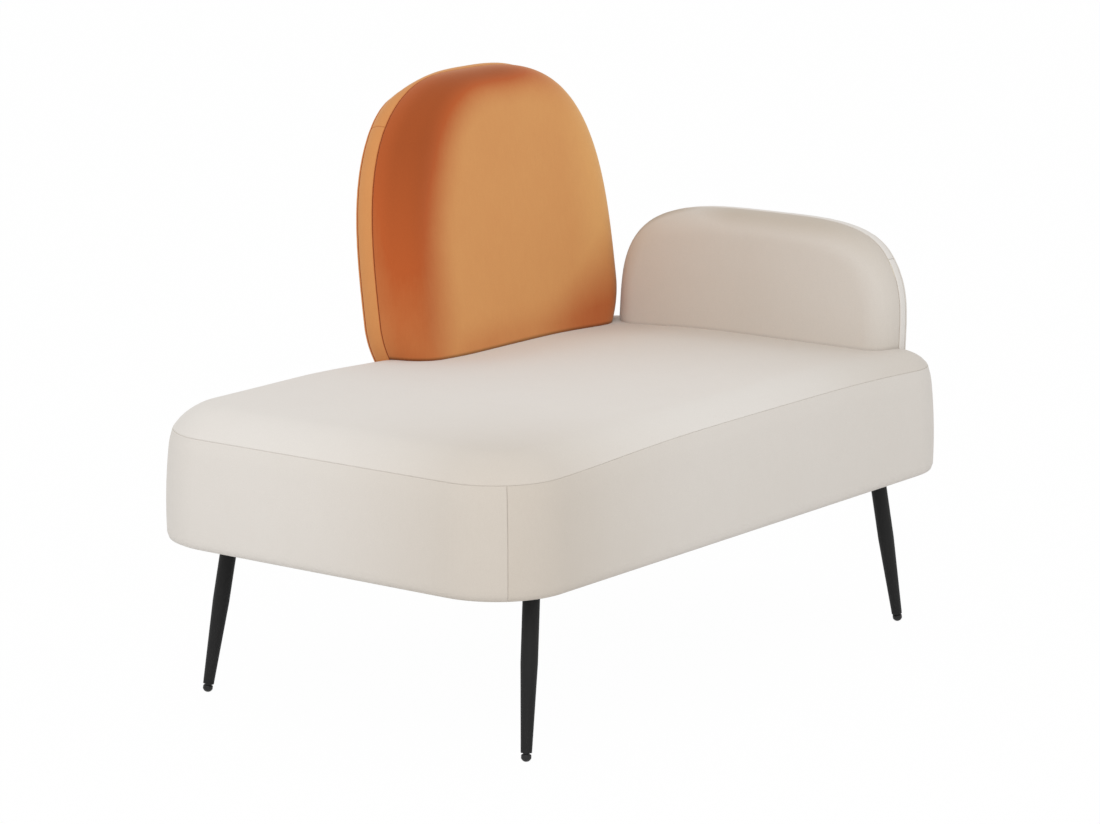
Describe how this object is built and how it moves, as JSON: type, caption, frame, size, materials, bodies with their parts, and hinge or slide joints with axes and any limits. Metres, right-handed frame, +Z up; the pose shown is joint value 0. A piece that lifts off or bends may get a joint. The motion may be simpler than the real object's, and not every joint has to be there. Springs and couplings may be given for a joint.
{
  "type": "chaise longue",
  "caption": "Padded lounge block on splayed tapered legs, with an arched backrest along part of the rear edge and a lower arched armrest across one end.",
  "frame": {"origin": "on the floor under the middle of the overall outline, halfway along the length and halfway between the front of the seat block and the rear of the leaning backrest", "axes": "+X along the length towards the armrest end, -Y towards the open front, +Z up"},
  "size_m": [1.1962, 0.7602, 0.881],
  "materials": {
    "cream_velvet": "short-pile velvet, matt with a soft sheen",
    "orange_velvet": "short-pile velvet, matt with a soft sheen",
    "foam": "open-cell upholstery foam",
    "felt": "needled felt sheet",
    "webbing": "woven elastic webbing",
    "dust_cloth": "thin non-woven cloth",
    "timber": "planed softwood",
    "plywood": "sanded plywood",
    "black_steel": "matt black powder coat",
    "zinc_steel": "bright zinc plate",
    "black_plastic": "moulded plastic, fine matt"
  },
  "bodies": {
    "body": {"seat_cover_top": "cream_velvet", "seat_cover_band": "cream_velvet", "arm_cover_face": "cream_velvet", "arm_cover_band": "cream_velvet", "arm_cover_rear": "cream_velvet", "back_cover_face": "orange_velvet", "back_cover_band": "orange_velvet", "back_cover_rear": "orange_velvet", "seat_foam": "foam", "seat_side_foam": "foam", "back_foam_front": "foam", "back_foam_rear": "foam", "arm_foam_front": "foam", "arm_foam_rear": "foam", "seat_felt": "felt", "seat_webbing": "webbing", "seat_dust_cover": "dust_cloth", "frame_front_rail": "timber", "frame_rear_rail": "timber", "frame_left_rail": "timber", "frame_right_rail": "timber", "frame_cross_rail_left": "timber", "frame_cross_rail_right": "timber", "frame_dowels": "timber", "frame_post_front_left": "timber", "frame_post_front_right": "timber", "frame_post_rear_left": "timber", "frame_post_rear_right": "timber", "back_board": "plywood", "arm_board": "plywood", "leg_front_left": "black_steel", "leg_front_right": "black_steel", "leg_rear_left": "black_steel", "leg_rear_right": "black_steel", "back_brackets": "black_steel", "arm_brackets": "black_steel", "frame_screws": "zinc_steel", "leg_screws": "zinc_steel", "back_board_bolts": "zinc_steel", "back_board_nuts": "zinc_steel", "back_rail_bolts": "zinc_steel", "back_rail_nuts": "zinc_steel", "arm_board_bolts": "zinc_steel", "arm_board_nuts": "zinc_steel", "arm_rail_bolts": "zinc_steel", "arm_rail_nuts": "zinc_steel", "leg_nut_inserts": "zinc_steel"},
    "glide_front_left": {"glide_foot_front_left": "black_plastic", "glide_stud_front_left": "zinc_steel"},
    "glide_front_right": {"glide_foot_front_right": "black_plastic", "glide_stud_front_right": "zinc_steel"},
    "glide_rear_left": {"glide_foot_rear_left": "black_plastic", "glide_stud_rear_left": "zinc_steel"},
    "glide_rear_right": {"glide_foot_rear_right": "black_plastic", "glide_stud_rear_right": "zinc_steel"}
  },
  "joints": [
    {"name": "glide_front_left_travel", "type": "slide", "parent": "body", "child": "glide_front_left", "axis": [-0.1575, -0.0788, -0.9844], "range_m": [0, 0.01]},
    {"name": "glide_front_right_travel", "type": "slide", "parent": "body", "child": "glide_front_right", "axis": [0.1575, -0.0788, -0.9844], "range_m": [0, 0.01]},
    {"name": "glide_rear_left_travel", "type": "slide", "parent": "body", "child": "glide_rear_left", "axis": [-0.1575, 0.0788, -0.9844], "range_m": [0, 0.01]},
    {"name": "glide_rear_right_travel", "type": "slide", "parent": "body", "child": "glide_rear_right", "axis": [0.1575, 0.0788, -0.9844], "range_m": [0, 0.01]}
  ]
}
